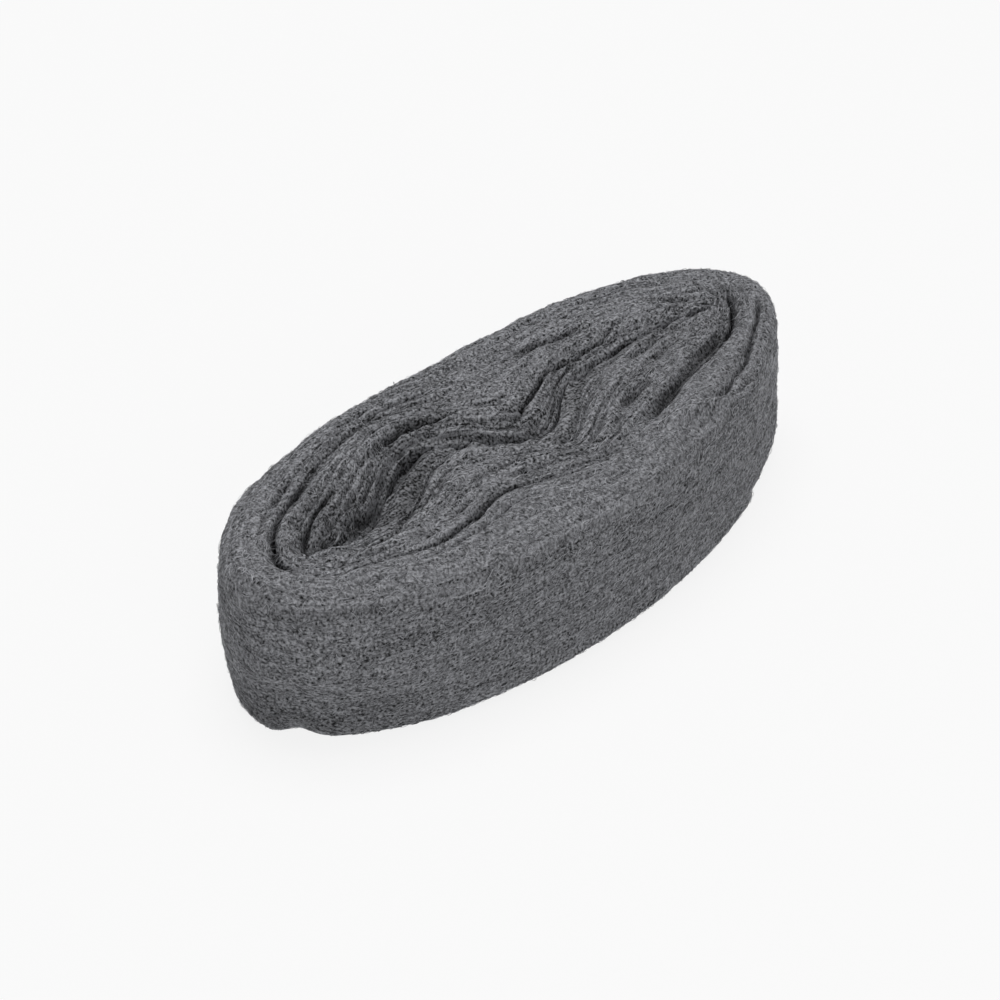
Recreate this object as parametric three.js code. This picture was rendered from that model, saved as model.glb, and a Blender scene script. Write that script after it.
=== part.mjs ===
// Steel wool pad: one ribbon of steel wool that stands on its edge, wound on itself into a flat oval roll.
// Millimetres, +Z up. The origin is under the middle of the roll, on the surface that it stands on.
import * as THREE from "three";
import { LoftGeometry } from "three/addons/geometries/LoftGeometry.js";

// Driving dimensions of the roll
const LENGTH = 160; // of the oval, along X
const WIDTH = 70; // of the oval, along Y
const RIBBON_WIDTH = 40; // the ribbon stands on its edge, so this is the roll's height
const TURNS = 8; // that build up the whole wall
const END_BUILD = 18; // thickness of all the turns together, at each end of the oval
const TURN_GAP = 0.5; // between two turns that lie against each other
const TIP_TURN = 0.35; // the ribbon thins out at its torn ends, and stops at this share of its thickness
const OUTER_END_DEG = -50; // where the ribbon's outer end lies, counterclockwise from +X

// The slit that the innermost turn leaves, and the hollow where it is widest
const SLIT_WIDTH = 3.4;
const HOLLOW_WIDENING = 7.2;
const HOLLOW_AT = -0.55; // share of the half length
const HOLLOW_REACH = 0.34; // share of the half length

// The ribbon's edges
const SEAM_DROP = 0.5; // from the crest of a turn's edge down to the seam where two turns meet
const EDGE_DROP = 2.6; // the same, where the turn's side is bare
const CROWN_SHARE = 0.16; // of a turn's thickness that lies outside each shoulder
const CROWN_DROP_SHARE = 0.27; // of the drop that a shoulder has, as against the crest
const FOOT_RISE = 1.2; // from the floor up to where a turn's side begins

// The roll's own rounding, over the turns
const RIM_START = 0.7; // share of the wall's build where the rim starts to round
const RIM_DROP = 3.5; // how far the outermost edge lies below the highest turns
const RIM_LIFT = 1.5; // how far the outermost lower edge is lifted off the floor
const CORE_END = 0.35; // share of the wall's build where the core's sinking ends
const NEAR_CORE_DROP = 2; // how far the innermost edge has sunk on the near side
const FAR_CORE_DROP = 4.5; // and on the far side
const TOP_TUCK = 1.2; // how far the outer wall's upper edge draws in from its middle
const FOOT_TUCK = 0.5; // and its lower edge
const LEFT_FOOT_TUCK = 2.2; // and its lower edge at the left end, besides

// The slit isn't straight: the inner turns were pushed to and fro when the roll was pressed flat.
// Each bend has its place as a share of the half length, its reach likewise, and its offset along Y.
const BENDS = [
  { at: -0.85, reach: 0.3, offset: -5.5 },
  { at: -0.36, reach: 0.2, offset: 7.5 },
  { at: 0.04, reach: 0.17, offset: -10 },
  { at: 0.6, reach: 0.36, offset: 3 },
];
const BEND_FADE = 1.6; // how fast the bends die out towards the outside

// Where the outside is fuller or flatter than a true oval: at which angle, how far round, by how much.
const BULGES = [
  { deg: 85, reach: 34, offset: -3.2 },
  { deg: 215, reach: 55, offset: 3.8 },
  { deg: 320, reach: 34, offset: -1.8 },
];

// Where the innermost turns have sunk further: at which angle, how far round, how deep, out to which share.
const SINKS = [
  { deg: 133, reach: 24, depth: 7, out: 0.4 },
  { deg: 165, reach: 16, depth: 4, out: 0.3 },
  { deg: 84, reach: 9, depth: 5, out: 0.13 },
  { deg: 55, reach: 16, depth: 2.5, out: 0.14 },
];
const SINK_POWER = 1.3; // how fast the sinking dies out towards the outside
const SIDE_CHANGE = 5; // how fast the near side's sinking turns into the far side's at the ends

// The seam that parts the inner turns from the outer ones swings in and out: at which angle, how far round,
// by how many turns.
const PARTING = 0.55; // share of the wall's build where that seam would lie
const SWINGS = [
  { deg: 125, reach: 12, turns: 0.5 },
  { deg: 172, reach: 15, turns: -0.75 },
  { deg: 207, reach: 12, turns: 1.2 },
  { deg: 232, reach: 9, turns: 0.6 },
  { deg: 253, reach: 7, turns: -0.8 },
  { deg: 281, reach: 13, turns: 0.6 },
  { deg: 352, reach: 20, turns: -2.1 },
];

// Where two turns stand apart: after how many turns, how far along, how wide, how much deeper the seam is.
const LOOSE_SPOTS = [
  { at: 4.24, reach: 0.12, width: 1.1, depth: 1.4 },
  { at: 4.465, reach: 0.04, width: 1.3, depth: 1.6 },
  { at: 4.71, reach: 0.15, width: 1.2, depth: 1.4 },
  { at: 5.475, reach: 0.03, width: 0.5, depth: 1.2 },
];

// Grooves that don't follow a seam: depth, half width, places as an angle and how many turns from the slit.
const GROOVES = [
  {
    depth: 5.5,
    width: 0.9,
    places: [[96, 0.8], [91, 1.4], [85, 1.9], [75, 1.9], [68, 1.2], [59, 1.2], [53, 1.9], [44, 2.5]],
  },
  { depth: 3.2, width: 0.9, places: [[128, 2.6], [137, 2.8], [150, 2.5], [168, 1.5]] },
];
const GROOVE_STEPS = 8; // from each place to the next

// The wool's own unevenness: waves of the upper edges, and creases that follow the winding.
const WAVES = [
  { height: 0.5, length: 21 },
  { height: 0.25, length: 7 },
];
const WAVE_ROOM = 0.4; // left for the waves under the roll's height
const CREASE_CELLS = 18; // round the oval
const CREASE_ROWS = 1.5; // for each turn
const CREASE_DEPTH = 0.8;
const CREASE_SHARPNESS = 2.2;
const FOLDED_MORE = 2.2; // how much deeper the creases are where the wool has sunk
const FOLDED_FROM = 4; // the sinking at which they are deepest
const LATTICE = 512; // cells after which the unevenness repeats
const WAVE_LAYER = 11; // where on the lattice the waves start
const LAYER_SHIFT = new THREE.Vector2(37.3, 91.7); // from one layer of unevenness to the next
const CELL_MIX = new THREE.Vector2(127.1, 311.7); // mixes up the cells
const CELL_SPREAD = 43758.5453;

// The ribbon's outer end curls away at its upper edge.
const CURL = 2.6;
const CURL_TURN = 0.04; // share of a turn over which it curls

// How finely the ribbon is drawn
const STEPS_PER_TURN = 56;
const STEP_SHIFT = 0.17; // evens out the steps between the round ends and the long sides

const { clamp, degToRad, euclideanModulo, lerp, radToDeg, smoothstep } = THREE.MathUtils;
const START_DEG = OUTER_END_DEG - 360 * (1 - TIP_TURN);
const LAST_TURN = TURNS + 1 - TIP_TURN;

// A smooth hump: 1 at no distance, near 0 beyond twice its reach.
const hump = (distance, reach) => Math.exp(-((distance / reach) ** 2));

// Adds up what a list of spots gives at an angle round the oval.
function sumAt(deg, spots, value) {
  const apart = (spot) => euclideanModulo(deg - spot.deg + 180, 360) - 180;
  return spots.reduce((sum, spot) => sum + value(spot) * hump(apart(spot), spot.reach), 0);
}

// A point of the plan: an angle round the oval, and a share of the wall, 0 at the slit and 1 outside.
// The tuck draws the outside in.
function planPoint(deg, share, tuck) {
  const along = Math.cos(degToRad(deg));
  const slit = SLIT_WIDTH + HOLLOW_WIDENING * hump(along - HOLLOW_AT, HOLLOW_REACH);
  const bend = BENDS.reduce((sum, { at, reach, offset }) => sum + offset * hump(along - at, reach), 0);
  const outward = sumAt(deg, BULGES, (bulge) => bulge.offset) * share - tuck * share ** 2;
  const halfLength = LENGTH / 2 - END_BUILD * (1 - share) + outward;
  const halfWidth = lerp(slit, WIDTH, share) / 2 + outward;
  const y = halfWidth * Math.sin(degToRad(deg)) + bend * (1 - share) ** BEND_FADE;
  return new THREE.Vector2(halfLength * along, y);
}

// The share of the wall that lies inside the seam that is wound after a number of turns, at an angle.
function shareAfter(turns, deg) {
  const built = clamp(turns / TURNS, 0, 1);
  const parting = PARTING + sumAt(deg, SWINGS, (swing) => swing.turns) / TURNS;
  if (built < PARTING) {
    return (parting * built) / PARTING;
  }
  return 1 - ((1 - parting) * (1 - built)) / (1 - PARTING);
}

// The angle after a number of turns, with longer steps round the ends than along the sides.
function angleAfter(turns) {
  const even = START_DEG + 360 * turns;
  return even + radToDeg(STEP_SHIFT * Math.sin(2 * degToRad(even)));
}

// Adds up what the loose spots give at the seam that is wound after a number of turns.
const looseAfter = (turns, value) =>
  LOOSE_SPOTS.reduce((sum, spot) => sum + value(spot) * hump(turns - spot.at, spot.reach), 0);

// Half the gap at a seam.
const halfGapAfter = (turns) => (TURN_GAP + looseAfter(turns, (spot) => spot.width)) / 2;

// How far the ribbon's upper edge drops to a seam, or to a bare side in the slit and on the outside.
function dropAfter(turns) {
  const bare = turns < TIP_TURN || turns > TURNS - TIP_TURN;
  return bare ? EDGE_DROP : SEAM_DROP + looseAfter(turns, (spot) => spot.depth);
}

// How far the rim has rounded at a share of the wall, 0 within it and 1 outside.
const rimShare = (share) => Math.max(0, (share - RIM_START) / (1 - RIM_START)) ** 2;

// A value from -1 to 1 that belongs to a cell of the lattice.
function cellValue(column, row) {
  const mixed = Math.sin(column * CELL_MIX.x + row * CELL_MIX.y) * CELL_SPREAD;
  return 2 * (mixed - Math.floor(mixed)) - 1;
}

// Smooth noise from -1 to 1 that repeats after a number of columns.
function noise(x, y, columns) {
  const column = Math.floor(x);
  const row = Math.floor(y);
  const corner = (right, above) =>
    cellValue(euclideanModulo(column + right, columns), euclideanModulo(row + above, LATTICE));
  const across = smoothstep(x - column, 0, 1);
  const lower = lerp(corner(0, 0), corner(1, 0), across);
  const upper = lerp(corner(0, 1), corner(1, 1), across);
  return lerp(lower, upper, smoothstep(y - row, 0, 1));
}

// Points along a groove, close together.
function grooveLine(places) {
  return places.slice(1).flatMap(([deg, turns], i) =>
    Array.from({ length: GROOVE_STEPS }, (_, step) => {
      const share = step / GROOVE_STEPS;
      return planPoint(lerp(places[i][0], deg, share), lerp(places[i][1], turns, share) / TURNS, TOP_TUCK);
    }),
  );
}
const grooves = GROOVES.map(({ depth, width, places }) => ({ depth, width, line: grooveLine(places) }));

// How deep the deepest groove is at a point of the plan.
function grooveDepth(plan) {
  const apart = ({ line }) => Math.min(...line.map((point) => point.distanceTo(plan)));
  return Math.max(...grooves.map((groove) => groove.depth * hump(apart(groove), groove.width)));
}

// Height of the upper edge at an angle and a share of the wall.
function topHeight(deg, share) {
  const side = (1 + Math.tanh(SIDE_CHANGE * Math.sin(degToRad(deg)))) / 2;
  const core = lerp(NEAR_CORE_DROP, FAR_CORE_DROP, side) * Math.max(0, 1 - share / CORE_END) ** 2;
  const sunk = sumAt(deg, SINKS, (sink) => sink.depth * Math.max(0, 1 - share / sink.out) ** SINK_POWER);
  const plan = planPoint(deg, share, TOP_TUCK);
  const waves = WAVES.reduce((sum, { height, length }, i) => {
    const start = LAYER_SHIFT.clone().multiplyScalar(WAVE_LAYER + i);
    return sum + height * noise(plan.x / length + start.x, plan.y / length + start.y, LATTICE);
  }, 0);
  const drop = RIM_DROP * rimShare(share) + core + sunk + WAVE_ROOM - waves;
  const folded = share < RIM_START ? clamp(drop / FOLDED_FROM, 0, 1) : 0;
  const away = Math.abs(noise((deg / 360) * CREASE_CELLS, share * TURNS * CREASE_ROWS, CREASE_CELLS));
  const crease = CREASE_DEPTH * Math.max(0, 1 - CREASE_SHARPNESS * away) * (1 + FOLDED_MORE * folded);
  return RIBBON_WIDTH - drop - crease - grooveDepth(plan);
}

// The ribbon's section after a number of turns, counterclockwise as seen from the ribbon's outer end.
function ribbonSection(turns) {
  const deg = angleAfter(turns);
  const inside = shareAfter(turns - 1, deg);
  const outside = shareAfter(turns, deg);
  const footTuck = FOOT_TUCK + LEFT_FOOT_TUCK * Math.max(0, -Math.cos(degToRad(deg))) ** 2;
  const curl = CURL * Math.max(0, 1 - (LAST_TURN - turns) / CURL_TURN) ** 2;
  const topTuck = TOP_TUCK - curl;

  const at = (across, z, tuck) => {
    const inner = planPoint(deg, inside, tuck);
    const outer = planPoint(deg, outside, tuck);
    const thickness = inner.distanceTo(outer);
    const first = halfGapAfter(turns - 1) / thickness;
    const last = 1 - halfGapAfter(turns) / thickness;
    const { x, y } = inner.lerp(outer, lerp(first, last, across));
    return new THREE.Vector3(x, y, z);
  };
  const top = (across, drop) => at(across, topHeight(deg, lerp(inside, outside, across)) - drop, topTuck);
  const lift = (across) => RIM_LIFT * rimShare(lerp(inside, outside, across));
  const foot = (across, rise) => at(across, lift(across) + rise, footTuck);

  const innerDrop = dropAfter(turns - 1);
  const outerDrop = dropAfter(turns);
  return [
    foot(0, FOOT_RISE),
    at(0, RIBBON_WIDTH / 2, 0),
    top(0, innerDrop),
    top(CROWN_SHARE, innerDrop * CROWN_DROP_SHARE),
    top(0.5, 0),
    top(1 - CROWN_SHARE, outerDrop * CROWN_DROP_SHARE),
    top(1, outerDrop),
    at(1, RIBBON_WIDTH / 2, 0),
    foot(1, FOOT_RISE),
    foot(1 - CROWN_SHARE, 0),
    foot(CROWN_SHARE, 0),
  ];
}

// The ribbon, from its inner end to its outer end.
function ribbonGeometry() {
  const steps = Math.round((LAST_TURN - TIP_TURN) * STEPS_PER_TURN);
  const turnsAt = (i) => lerp(TIP_TURN, LAST_TURN, i / steps);
  const sections = Array.from({ length: steps + 1 }, (_, i) => ribbonSection(turnsAt(i)));
  const geometry = new LoftGeometry(sections, { capStart: true, capEnd: true });
  geometry.computeBoundingBox();
  const middle = geometry.boundingBox.getCenter(new THREE.Vector3());
  return geometry.translate(-middle.x, -middle.y, 0);
}

const steelWool = new THREE.MeshStandardMaterial({ color: 0x606163, roughness: 0.8, metalness: 0.5 });

const ribbon = new THREE.Mesh(ribbonGeometry(), steelWool);
ribbon.name = "wound_ribbon";

const pad = new THREE.Group();
pad.add(ribbon);

export default pad;
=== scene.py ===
# %% [markdown]
# # A steel wool pad
# The pad is one long ribbon of fine steel fibres, wound on its edge into a flat oval roll and pressed
# until the innermost turns folded into a wavy slit. The frame holds it as a smooth solid. This lesson
# makes its wool: a lumpy ribbon with rounded edges, and the fibres that lie on it.

import bpy
import numpy as np
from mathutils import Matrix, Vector


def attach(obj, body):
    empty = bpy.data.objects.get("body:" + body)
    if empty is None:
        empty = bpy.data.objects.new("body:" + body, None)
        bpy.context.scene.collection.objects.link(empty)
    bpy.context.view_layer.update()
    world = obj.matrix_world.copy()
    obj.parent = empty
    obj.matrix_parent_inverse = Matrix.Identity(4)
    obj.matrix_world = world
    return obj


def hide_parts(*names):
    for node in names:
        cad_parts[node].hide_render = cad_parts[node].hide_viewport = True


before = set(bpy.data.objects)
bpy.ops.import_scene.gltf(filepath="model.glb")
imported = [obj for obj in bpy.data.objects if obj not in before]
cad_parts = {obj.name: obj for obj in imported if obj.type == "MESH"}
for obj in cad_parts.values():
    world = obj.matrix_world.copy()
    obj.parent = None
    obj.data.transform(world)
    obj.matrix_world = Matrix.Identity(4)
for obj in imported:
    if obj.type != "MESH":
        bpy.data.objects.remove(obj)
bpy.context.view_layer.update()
MM = 0.001

# %% [markdown]
# ## The winding
# A ribbon could be wound with a Curve modifier, but the turns of a pressed roll are all different: each
# is a blend between the slit and the outline. So the winding is a formula of the number of turns from the
# inner end and the place around the ribbon's section, with the solid's own sizes.

# %% Sizes of the roll, in millimetres
LENGTH = 160.0
WIDTH = 70.0
RIBBON_WIDTH = 40.0
TURNS = 8
END_BUILD = 18.0
TIP_TURN = 0.35
OUTER_END_DEG = -50.0
START_DEG = OUTER_END_DEG - 360 * (1 - TIP_TURN)
FIRST_TURN = TIP_TURN
LAST_TURN = TURNS + 1 - TIP_TURN

SLIT_WIDTH = 3.4
HOLLOW_WIDENING = 7.2
HOLLOW_AT, HOLLOW_REACH = -0.55, 0.34

# The bends of the slit: place and reach as shares of the half length, and offset along Y.
BENDS = [(-0.85, 0.3, -5.5), (-0.36, 0.2, 7.5), (0.04, 0.17, -10.0), (0.6, 0.36, 3.0)]
BEND_FADE = 1.6

# Where the outside is fuller or flatter than an oval: angle, reach in degrees, offset.
BULGES = [(85, 34, -3.2), (215, 55, 3.8), (320, 34, -1.8)]


# %% Smooth noise on a lattice, the same as the solid's
LATTICE = 512
HASH_ACROSS, HASH_UP, HASH_SCALE = 127.1, 311.7, 43758.5453
LAYER_ACROSS, LAYER_UP = 37.3, 91.7
column, row = np.meshgrid(np.arange(LATTICE), np.arange(LATTICE))
lattice = 2 * (np.sin(column * HASH_ACROSS + row * HASH_UP) * HASH_SCALE % 1) - 1


def straight(share):
    return share


def smooth_step(share):
    return share**2 * (3 - 2 * share)


def between(grid, x, y, ease):
    """The value of a grid between its cells. The grid repeats."""
    column, row = np.floor(x).astype(int), np.floor(y).astype(int)
    across, up = ease(x - column), ease(y - row)

    def corner(right, above):
        return grid[(row + above) % grid.shape[0], (column + right) % grid.shape[1]]

    lower = corner(0, 0) + (corner(1, 0) - corner(0, 0)) * across
    upper = corner(0, 1) + (corner(1, 1) - corner(0, 1)) * across
    return lower + (upper - lower) * up


def noise(x, y, layer):
    """Smooth noise from -1 to 1. Each layer starts at another place of the lattice."""
    return between(lattice, x + LAYER_ACROSS * layer, y + LAYER_UP * layer, smooth_step)


# %% The plan of the winding
SEAM_WANDER, WANDERS_PER_TURN = 0.025, 14.0
# The seam that parts the inner turns from the outer ones: the share of the wall where it would lie, and
# its swings in and out, by angle, reach in degrees and number of turns.
PARTING = 0.55
SWINGS = [
    (125, 12, 0.5), (172, 15, -0.75), (207, 12, 1.2), (232, 9, 0.6), (253, 7, -0.8), (281, 13, 0.6),
    (352, 20, -2.1),
]


def clamp(value):
    return np.clip(value, 0, 1)


def hump(distance, reach):
    return np.exp(-((distance / reach) ** 2))


def cosine(deg):
    return np.cos(np.radians(deg))


def sine(deg):
    return np.sin(np.radians(deg))


def near_angle(deg, at, reach):
    """1 at an angle, and less away from it, the short way round."""
    return hump((deg - at + 180) % 360 - 180, reach)


def angle_after(turns):
    return START_DEG + 360 * turns


def sum_at(deg, spots):
    """The sum at an angle of spots that each have an angle, a reach in degrees and a value."""
    return sum(value * near_angle(deg, at, reach) for at, reach, value in spots)


def parting_at(deg):
    return PARTING + sum_at(deg, SWINGS) / TURNS


def share_after(turns, deg):
    """Share of the wall that is built up: 0 at the slit, 1 outside. The seams wander a little."""
    built = clamp(turns / TURNS)
    wander = SEAM_WANDER * noise(turns * WANDERS_PER_TURN, 0 * turns, 14)
    built = built + wander * 4 * built * (1 - built)
    parting = parting_at(deg)
    beyond = 1 - (1 - parting) * (1 - built) / (1 - PARTING)
    return np.where(built < PARTING, parting * built / PARTING, beyond)


def slit_shape(along):
    """Width of the slit, and how far it has bent aside, at a share of its half length."""
    width = SLIT_WIDTH + HOLLOW_WIDENING * hump(along - HOLLOW_AT, HOLLOW_REACH)
    return width, sum(offset * hump(along - at, reach) for at, reach, offset in BENDS)


def plan_point(deg, built, tuck):
    """X and Y at an angle round the oval and a share of the wall. The tuck draws the outside in."""
    along = cosine(deg)
    slit, bend = slit_shape(along)
    outward = sum_at(deg, BULGES) * built - tuck * built**2
    half_length = LENGTH / 2 - END_BUILD * (1 - built) + outward
    half_width = (slit + (WIDTH - slit) * built) / 2 + outward
    y = half_width * sine(deg) + bend * np.clip(1 - built, 0, None) ** BEND_FADE
    return np.stack([half_length * along, y], -1)


outline = plan_point(np.arange(0.0, 360.0), np.ones(360), np.zeros(360))
PLAN_MIDDLE = (outline.min(0) + outline.max(0)) / 2
print("the outline's middle in mm:", PLAN_MIDDLE.round(2).tolist())

# %% How far along the ribbon each turn lies
WINDING_STEPS = 4000
turn_steps = np.linspace(0, TURNS + 1, WINDING_STEPS)
turn_angles = angle_after(turn_steps)
middle_line = plan_point(turn_angles, share_after(turn_steps - 0.5, turn_angles), 0.0)
step_lengths = np.linalg.norm(np.diff(middle_line, axis=0), axis=1)
ribbon_lengths = np.concatenate([[0], np.cumsum(step_lengths)])


def length_after(turns):
    return np.interp(turns, turn_steps, ribbon_lengths)


def turns_after(length):
    return np.interp(length, ribbon_lengths, turn_steps)


print("the ribbon is", round(float(length_after(LAST_TURN) - length_after(FIRST_TURN))), "mm long")

# %% [markdown]
# ## The top of the roll
# Neighbouring turns mesh where they are pressed together, so most seams are shallow, and the outer ones
# melt into a smooth rim. A few turns stand apart in deep grooves, and beside the hollow the innermost
# turns have sunk. The heights are one map over the plan, so neighbours meet at the same height.

# %% Lesser grooves, across the turns or beside the seams
TOP_TUCK = 1.2
# Depth and half width, then places along the groove: an angle, and how many turns out from the slit. The
# last one stands up: it is the ridge at the ribbon's outer end.
GROOVES = [
    (3.2, 0.45, [(128, 2.6), (137, 2.8), (142, 2.7), (150, 2.5), (156, 2.1), (168, 1.5)]),
    (2.2, 0.45, [(-14, 5.6), (-20, 5.8), (-36, 6.2), (-48, 6.8), (-60, 7.0), (-65, 6.7)]),
    (1.9, 1.2, [(-25, 3.1), (-42, 3.9), (-54, 4.1), (-63, 4.4), (-70, 4.8), (-77, 4.7)]),
    (1.8, 0.45, [(86, 1.3), (88, 0.96), (91, 0.5), (95, 0.05)]),
    (3.2, 0.38, [(96, 0.8), (91, 1.4), (87, 1.9), (83, 1.9), (75, 1.9), (72, 1.6), (68, 1.2), (59, 1.2),
                 (53, 1.9), (44, 2.5)]),
    (2.2, 0.56, [(116, 1.9), (109, 2.1), (104, 2.3), (98, 2.3)]),
    (1.3, 0.49, [(122, 4.8), (113, 4.6), (108, 5.0), (102, 5.0), (94, 5.3)]),
    (1.7, 0.56, [(84, 5.0), (76, 4.4), (71, 3.9), (66, 3.5), (60, 3.3)]),
    (2.2, 0.56, [(40, 3.2), (33, 2.4), (26, 1.7)]),
    (1.0, 0.49, [(62, 5.9), (52, 5.6), (42, 5.4), (33, 5.4)]),
    (2.0, 0.7, [(-76, 3.2), (-69, 3.1), (-63, 2.9)]),
    (1.2, 0.49, [(-124, 0.3), (-131, 0.8), (-137, 2.4)]),
    (1.2, 0.49, [(147, 5.0), (139, 5.2), (133, 5.6)]),
    (2.2, 0.63, [(138, 1.2), (130, 0.7), (124, 0.3)]),
    (2.0, 0.56, [(156, 1.4), (148, 1.2), (141, 1.5)]),
    (-2.2, 0.9, [(-77, 5.9), (-73, 6.4), (-69, 6.9), (-65, 7.3), (-62, 7.8), (-57, 7.95)]),
]

# The edges of a groove are rounded: how far they drop as a share of its depth, and how wide the rounding is.
SHOULDER_DROP, SHOULDER_WIDTH = 0.22, 2.2
# Points between two places of a groove, and how fast it deepens from its ends.
GROOVE_POINTS, GROOVE_ENDS = 25, 5
# The map of the grooves, in millimetres: its cells, its half sizes, and how far a groove reaches on it.
GROOVE_CELL, MAP_X, MAP_Y, GROOVE_MARGIN = 0.25, 90.0, 45.0, 6.0
groove_x = np.arange(-MAP_X, MAP_X, GROOVE_CELL)
groove_y = np.arange(-MAP_Y, MAP_Y, GROOVE_CELL)
groove_map = np.zeros((len(groove_y), len(groove_x)))
for depth, width, places in GROOVES:
    knots = np.arange(len(places))
    fine = np.linspace(0, knots[-1], GROOVE_POINTS * knots[-1] + 1)
    deg, wound = (np.interp(fine, knots, column) for column in np.array(places, float).T)
    line = plan_point(deg, wound / TURNS, TOP_TUCK)
    share = fine / knots[-1]
    reach = depth * clamp(GROOVE_ENDS * np.minimum(share, 1 - share))
    low, high = line.min(0) - GROOVE_MARGIN, line.max(0) + GROOVE_MARGIN
    columns = np.nonzero((groove_x > low[0]) & (groove_x < high[0]))[0]
    rows = np.nonzero((groove_y > low[1]) & (groove_y < high[1]))[0]
    apart_x = groove_x[columns][None, :, None] - line[:, 0]
    apart_y = groove_y[rows][:, None, None] - line[:, 1]
    apart = np.hypot(apart_x, apart_y)
    cut = np.abs(reach) * (hump(apart, width) + SHOULDER_DROP * hump(apart, SHOULDER_WIDTH))
    cut = np.sign(depth) * cut.max(-1)
    part = np.ix_(rows, columns)
    before = groove_map[part]
    groove_map[part] = np.maximum(before, cut) if depth > 0 else before + cut


def groove_depth(plan):
    x = (plan[..., 0] - groove_x[0]) / GROOVE_CELL
    y = (plan[..., 1] - groove_y[0]) / GROOVE_CELL
    return between(groove_map, x, y, straight)


print("carved", len(GROOVES), "grooves, the deepest", round(float(groove_map.max()), 1), "mm")

# %% Height of the upper edge
RIM_START, RIM_DROP, RIM_LIFT = 0.7, 3.5, 1.5
CORE_END, NEAR_CORE_DROP, FAR_CORE_DROP = 0.35, 2.0, 4.5
SINK_POWER = 1.3
# How fast the near side's sinking turns into the far side's at the ends.
SIDE_CHANGE = 5
# The far side has sunk less and less towards the right, until this share of the half length.
RIGHT_END = 0.35
# Where the innermost turns have sunk: angle, reach in degrees, depth, and out to which share of the wall.
SINKS = [(133, 24, 6.2, 0.4), (165, 16, 3.4, 0.3), (84, 9, 4.5, 0.15), (55, 16, 0.8, 0.14)]
# Waves of the crests: height, and length.
CREST_WAVES = [(0.5, 21.0), (0.25, 7.0)]
TOP_MARGIN = 0.4


def rim_share(built):
    """How far the rim has rounded off at a share of the wall."""
    return np.clip((built - RIM_START) / (1 - RIM_START), 0, None) ** 2


def top_height(deg, built):
    """Height of the upper edge at an angle and a share of the wall, without the grooves."""
    plan = plan_point(deg, built, TOP_TUCK)
    core = np.clip(1 - built / CORE_END, 0, None) ** 2
    far = 0.5 + 0.5 * np.tanh(SIDE_CHANGE * sine(deg))
    far = far * (1 - clamp(cosine(deg) / RIGHT_END))
    drop = RIM_DROP * rim_share(built) + (NEAR_CORE_DROP + (FAR_CORE_DROP - NEAR_CORE_DROP) * far) * core
    for at, reach, depth, out in SINKS:
        inner = np.clip(1 - built / out, 0, None) ** SINK_POWER
        drop = drop + depth * near_angle(deg, at, reach) * inner
    for layer, (height, length) in enumerate(CREST_WAVES):
        drop = drop - height * noise(plan[..., 0] / length, plan[..., 1] / length, 11 + layer)
    return RIBBON_WIDTH - TOP_MARGIN - drop


# %% Creases that follow the winding
# Cells of the creases round the oval, cells for each turn, depth, how sharp they are, and how much deeper
# where the wool has sunk.
CREASES = [
    (18, 1.5, 0.8, 2.2, 0.7), (34, 2.7, 0.5, 2.0, 1.8), (22, 3.6, 0.4, 1.8, 3.2), (60, 6.0, 0.2, 1.6, 3.0),
]
RING_STEP = 60
FOLDED_FROM = 4.0
# The outer turns of the near side and of both ends are smoother: how much, from which share of the wall,
# where the far side begins, and how fast the one turns into the other.
SMOOTHER, SMOOTH_FROM, SMOOTH_REACH, FAR_BOUND, SMOOTH_CHANGE = 0.85, 0.5, 0.15, 0.4, 4
# The far side is calmer to the right: how much, angle, reach in degrees, and from which share of the wall.
CALM, CALM_AT, CALM_REACH, CALM_FROM = 0.65, 45, 28, 0.2


def ring_noise(deg, share, cells, rows, layer):
    """Smooth noise from -1 to 1 that closes on itself round the oval."""
    first = layer * RING_STEP
    ring = lattice[:, first : first + cells]
    return between(ring, deg / 360 * cells, share * TURNS * rows, smooth_step)


def smoothness(deg, share):
    """How smooth the turns are: 1 outside on the near side and at the ends, 0 elsewhere."""
    bound = FAR_BOUND + FAR_BOUND * clamp(cosine(deg))
    near = 0.5 - 0.5 * np.tanh(SMOOTH_CHANGE * (sine(deg) - bound))
    return near * clamp((share - SMOOTH_FROM) / SMOOTH_REACH)


def crease_depth(deg, share):
    """Soft creases, drawn where noise crosses its middle. They are deeper where the wool has sunk."""
    sunk = clamp((RIBBON_WIDTH - top_height(deg, share)) / FOLDED_FROM) * (share < RIM_START)
    depth = 0
    for layer, (cells, rows, most, sharpness, more) in enumerate(CREASES):
        away = np.abs(ring_noise(deg, share, cells, rows, layer))
        depth = depth + most * clamp(1 - sharpness * away) * (1 + more * sunk)
    calm = CALM * near_angle(deg, CALM_AT, CALM_REACH) * clamp(share / CALM_FROM)
    return depth * (1 - SMOOTHER * smoothness(deg, share)) * (1 - calm)


# %% [markdown]
# ## The ribbon's section
# Going round the section, the place 0 to 1 climbs the inner side, 1 to 2 crosses the upper edge, 2 to 3
# goes down the outer side and 3 to 4 crosses the lower edge. The outer end has come away at its upper
# corner, and the foot is tucked in at the left end, where a tuft hangs beside a notch.

# %% Sizes of the section, in millimetres
EDGE_DROP = 2.6
EDGE_POWER = 2.1
FOOT_RISE = 1.2
FOOT_TUCK, LEFT_FOOT_TUCK = 0.5, 2.2
TUCK_POWER = 1.6
THINNEST = 0.5
# The seams: depth, length of a patch and roundness, then how the patches vary and fade outwards.
SEAM_MOST, SEAM_PATCH, SEAM_POWER = 1.3, 9.0, 2.5
SEAM_MEAN, SEAM_CHANGE, SEAM_FADE = 0.2, 0.9, 1.3
# The share of a turn in which a side comes free of its neighbour.
COMING_FREE = 0.01

# The outer end curls away at its upper corner.
CURL, CURL_LENGTH, CURL_FROM, CURL_TO = 2.6, 14.0, 27.0, 37.0

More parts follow.
